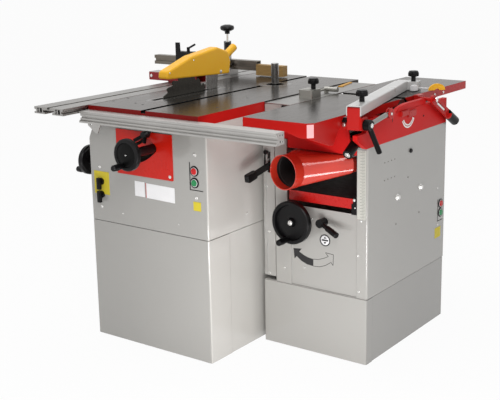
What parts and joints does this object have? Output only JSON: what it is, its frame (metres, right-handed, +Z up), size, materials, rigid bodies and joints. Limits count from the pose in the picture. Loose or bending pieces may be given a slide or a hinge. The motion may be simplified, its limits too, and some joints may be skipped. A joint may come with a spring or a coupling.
{
  "type": "combination woodworking machine",
  "caption": "Floor-standing combination woodworking machine: tilting saw with sliding table and spindle moulder beside a folding-table planer thicknesser.",
  "frame": {"origin": "on the floor at the centre of the saw cabinet's foot", "axes": "+X to the right towards the planer, +Y to the back along the feed, +Z up"},
  "size_m": [1.4895, 1.345, 1.084],
  "materials": {
    "grey_paint": "fine satin paint",
    "red_paint": "gloss paint",
    "cast_table": "ground top, red painted sides",
    "cast_iron": "as cast, painted dark",
    "steel": "turned",
    "blade_steel": "ground",
    "aluminium": "satin anodised",
    "black_plastic": "moulded",
    "yellow_plastic": "moulded",
    "red_plastic": "moulded",
    "green_plastic": "moulded",
    "rubber": "matt",
    "wood": "planed"
  },
  "bodies": {
    "frame": {"saw_base_cabinet": "grey_paint", "saw_upper_cabinet": "grey_paint", "saw_table": "cast_table", "table_inserts": "steel", "front_rail": "aluminium", "control_plate": "red_paint", "trunnions": "cast_iron", "spindle_guide": "cast_iron", "slide_rail": "aluminium", "planer_base": "grey_paint", "planer_cabinet": "grey_paint", "planer_side_plates": "red_paint", "link_panel": "grey_paint", "planer_motor": "cast_iron", "drive_belt": "rubber", "gap_plate": "aluminium", "fence_mount": "aluminium"},
    "slider": {"sliding_table": "aluminium", "crosscut_bar": "red_paint", "crosscut_fence": "aluminium", "fence_block": "wood", "hold_down_post": "black_plastic"},
    "length_stop": {"fence_stop": "black_plastic"},
    "hold_down": {"hold_down_screw": "black_plastic"},
    "tilt_unit": {"tilt_cradle": "cast_iron"},
    "tilt_lock": {"tilt_lock_lever": "black_plastic"},
    "rise_wheel": {"saw_handwheel": "black_plastic"},
    "saw_unit": {"saw_carriage": "cast_iron", "riving_knife": "blade_steel"},
    "guard": {"blade_guard": "yellow_plastic"},
    "saw_spindle": {"saw_blade": "blade_steel", "saw_arbor": "steel"},
    "quill": {"spindle_quill": "steel"},
    "spindle": {"spindle_shaft": "steel"},
    "spindle_wheel": {"spindle_handwheel": "black_plastic"},
    "cutter": {"cutterhead": "steel"},
    "roller_in": {"infeed_roller": "steel"},
    "roller_out": {"outfeed_roller": "steel"},
    "thickness_bed": {"thickness_table": "red_paint"},
    "thickness_wheel": {"thickness_handwheel": "black_plastic"},
    "thickness_clamp": {"thickness_lock": "black_plastic"},
    "outfeed": {"outfeed_table": "cast_table", "guard_bracket": "red_paint"},
    "table_lock": {"lock_lever": "black_plastic"},
    "carrier": {"infeed_carrier": "cast_iron"},
    "infeed": {"infeed_table": "cast_table"},
    "depth_arm": {"depth_lever": "black_plastic"},
    "bridge": {"bridge_guard": "aluminium"},
    "bridge_front_knob": {"guard_front_knob": "black_plastic"},
    "bridge_rear_knob": {"guard_rear_knob": "black_plastic"},
    "bridge_clamp": {"clamp_lever": "black_plastic"},
    "planer_fence_knob": {"fence_knob": "black_plastic"},
    "feed_arm": {"feed_lever": "black_plastic"},
    "chute": {"chip_chute": "red_paint"},
    "saw_stop": {"saw_stop_button": "red_plastic"},
    "saw_start": {"saw_start_button": "green_plastic"},
    "planer_stop": {"planer_stop_button": "red_plastic"},
    "planer_start": {"planer_start_button": "green_plastic"},
    "upper_selector": {"saw_selector": "black_plastic"},
    "lower_selector": {"function_selector": "black_plastic"}
  },
  "joints": [
    {"name": "slider_travel", "type": "slide", "parent": "frame", "child": "slider", "axis": [0, 1, 0], "range_m": [-0.25, 0.45]},
    {"name": "length_stop_travel", "type": "slide", "parent": "slider", "child": "length_stop", "axis": [1, 0, 0], "range_m": [-0.08, 0.15]},
    {"name": "hold_down_travel", "type": "slide", "parent": "slider", "child": "hold_down", "axis": [0, 0, 1], "range_m": [-0.03, 0.02]},
    {"name": "saw_tilt", "type": "hinge", "parent": "frame", "child": "tilt_unit", "pos_m": [-0.089, 0, 0.87], "axis": [0, 1, 0], "range_deg": [0, 45]},
    {"name": "tilt_lock_turn", "type": "hinge", "parent": "tilt_unit", "child": "tilt_lock", "pos_m": [0.018, -0.44, 0.783], "axis": [0, 1, 0], "range_deg": [0, 40]},
    {"name": "saw_rise", "type": "slide", "parent": "tilt_unit", "child": "saw_unit", "axis": [0, 0, 1], "range_m": [-0.045, 0.01]},
    {"name": "rise_wheel_turn", "type": "hinge", "parent": "tilt_unit", "child": "rise_wheel", "pos_m": [0.038, -0.55, 0.735], "axis": [0, 1, 0], "range_deg": [-4060, 910]},
    {"name": "guard_swing", "type": "hinge", "parent": "saw_unit", "child": "guard", "pos_m": [-0.089, 0.088, 0.936], "axis": [-1, 0, 0], "range_deg": [0, 18]},
    {"name": "blade_spin", "type": "hinge", "parent": "saw_unit", "child": "saw_spindle", "pos_m": [-0.089, -0.098, 0.794], "axis": [1, 0, 0], "continuous": true},
    {"name": "spindle_rise", "type": "slide", "parent": "frame", "child": "quill", "axis": [0, 0, 1], "range_m": [-0.088, 0.02]},
    {"name": "spindle_spin", "type": "hinge", "parent": "quill", "child": "spindle", "pos_m": [0.05, 0.288, 0.8], "axis": [0, 0, 1], "continuous": true},
    {"name": "spindle_wheel_turn", "type": "hinge", "parent": "frame", "child": "spindle_wheel", "pos_m": [-0.3, -0.371, 0.645], "axis": [1, 0, 0], "range_deg": [-7930, 1820]},
    {"name": "cutter_spin", "type": "hinge", "parent": "frame", "child": "cutter", "pos_m": [0.53, 0.198, 0.834], "axis": [1, 0, 0], "continuous": true},
    {"name": "infeed_roller_spin", "type": "hinge", "parent": "frame", "child": "roller_in", "pos_m": [0.53, 0.26, 0.817], "axis": [1, 0, 0], "continuous": true},
    {"name": "outfeed_roller_spin", "type": "hinge", "parent": "frame", "child": "roller_out", "pos_m": [0.53, 0.136, 0.817], "axis": [1, 0, 0], "continuous": true},
    {"name": "thickness_lift", "type": "slide", "parent": "frame", "child": "thickness_bed", "axis": [0, 0, 1], "range_m": [-0.012, 0.06]},
    {"name": "thickness_wheel_turn", "type": "hinge", "parent": "frame", "child": "thickness_wheel", "pos_m": [0.442, -0.18, 0.475], "axis": [0, 1, 0], "range_deg": [-1090, 5410]},
    {"name": "thickness_clamp_turn", "type": "hinge", "parent": "frame", "child": "thickness_clamp", "pos_m": [0.546, -0.16, 0.482], "axis": [0, -1, 0], "range_deg": [0, 50]},
    {"name": "outfeed_fold", "type": "hinge", "parent": "frame", "child": "outfeed", "pos_m": [0.405, 0, 0.85], "axis": [0, -1, 0], "range_deg": [0, 90]},
    {"name": "table_lock_turn", "type": "hinge", "parent": "frame", "child": "table_lock", "pos_m": [0.69, -0.114, 0.805], "axis": [-1, 0, 0], "range_deg": [0, 25]},
    {"name": "infeed_fold", "type": "hinge", "parent": "frame", "child": "carrier", "pos_m": [0.405, 0, 0.85], "axis": [0, -1, 0], "range_deg": [0, 90]},
    {"name": "infeed_depth", "type": "slide", "parent": "carrier", "child": "infeed", "axis": [0, 0, 1], "range_m": [-0.004, 0]},
    {"name": "depth_lever_turn", "type": "hinge", "parent": "carrier", "child": "depth_arm", "pos_m": [0.735, 0.286, 0.86], "axis": [1, 0, 0], "range_deg": [0, 41]},
    {"name": "bridge_swing", "type": "hinge", "parent": "outfeed", "child": "bridge", "pos_m": [0.70259, -0.21153, 0.893], "axis": [0.9711, 0.2385, 0], "range_deg": [0, 20]},
    {"name": "bridge_front_knob_turn", "type": "hinge", "parent": "bridge", "child": "bridge_front_knob", "pos_m": [0.68136, -0.1251, 0.92], "axis": [0, 0, 1], "range_deg": [-90, 90]},
    {"name": "bridge_rear_knob_turn", "type": "hinge", "parent": "bridge", "child": "bridge_rear_knob", "pos_m": [0.59094, 0.41492, 0.92], "axis": [0, 0, 1], "range_deg": [-90, 90]},
    {"name": "bridge_clamp_turn", "type": "hinge", "parent": "outfeed", "child": "bridge_clamp", "pos_m": [0.74, -0.192, 0.842], "axis": [1, 0, 0], "range_deg": [-40, 40]},
    {"name": "planer_fence_knob_turn", "type": "hinge", "parent": "frame", "child": "planer_fence_knob", "pos_m": [0.353, 0.095, 0.9], "axis": [0, 0, 1], "range_deg": [-90, 90]},
    {"name": "feed_arm_turn", "type": "hinge", "parent": "frame", "child": "feed_arm", "pos_m": [0.32, -0.11, 0.662], "axis": [-1, 0, 0], "range_deg": [0, 20]},
    {"name": "chute_travel", "type": "slide", "parent": "frame", "child": "chute", "axis": [0, -1, 0], "range_m": [0, 0.3]},
    {"name": "saw_stop_press", "type": "slide", "parent": "frame", "child": "saw_stop", "axis": [0, 1, 0], "range_m": [0, 0.004], "stiffness_N_per_m": 400, "springref_m": -0.003},
    {"name": "saw_start_press", "type": "slide", "parent": "frame", "child": "saw_start", "axis": [0, 1, 0], "range_m": [0, 0.004], "stiffness_N_per_m": 400, "springref_m": -0.003},
    {"name": "planer_stop_press", "type": "slide", "parent": "frame", "child": "planer_stop", "axis": [-1, 0, 0], "range_m": [0, 0.004], "stiffness_N_per_m": 400, "springref_m": -0.003},
    {"name": "planer_start_press", "type": "slide", "parent": "frame", "child": "planer_start", "axis": [-1, 0, 0], "range_m": [0, 0.004], "stiffness_N_per_m": 400, "springref_m": -0.003},
    {"name": "upper_selector_turn", "type": "hinge", "parent": "frame", "child": "upper_selector", "pos_m": [-0.216, -0.44, 0.588], "axis": [0, 1, 0], "range_deg": [-45, 45]},
    {"name": "lower_selector_turn", "type": "hinge", "parent": "frame", "child": "lower_selector", "pos_m": [-0.216, -0.44, 0.54], "axis": [0, 1, 0], "range_deg": [-45, 45]}
  ],
  "couplings": [
    {"joint": "rise_wheel_turn", "follows": "saw_rise", "rad_per_m": 1570.8},
    {"joint": "spindle_wheel_turn", "follows": "spindle_rise", "rad_per_m": 1570.8},
    {"joint": "outfeed_roller_spin", "follows": "infeed_roller_spin", "ratio": 1},
    {"joint": "thickness_wheel_turn", "follows": "thickness_lift", "rad_per_m": 1570.8},
    {"joint": "infeed_fold", "follows": "outfeed_fold", "ratio": 1},
    {"joint": "depth_lever_turn", "follows": "infeed_depth", "rad_per_m": -174.5}
  ]
}
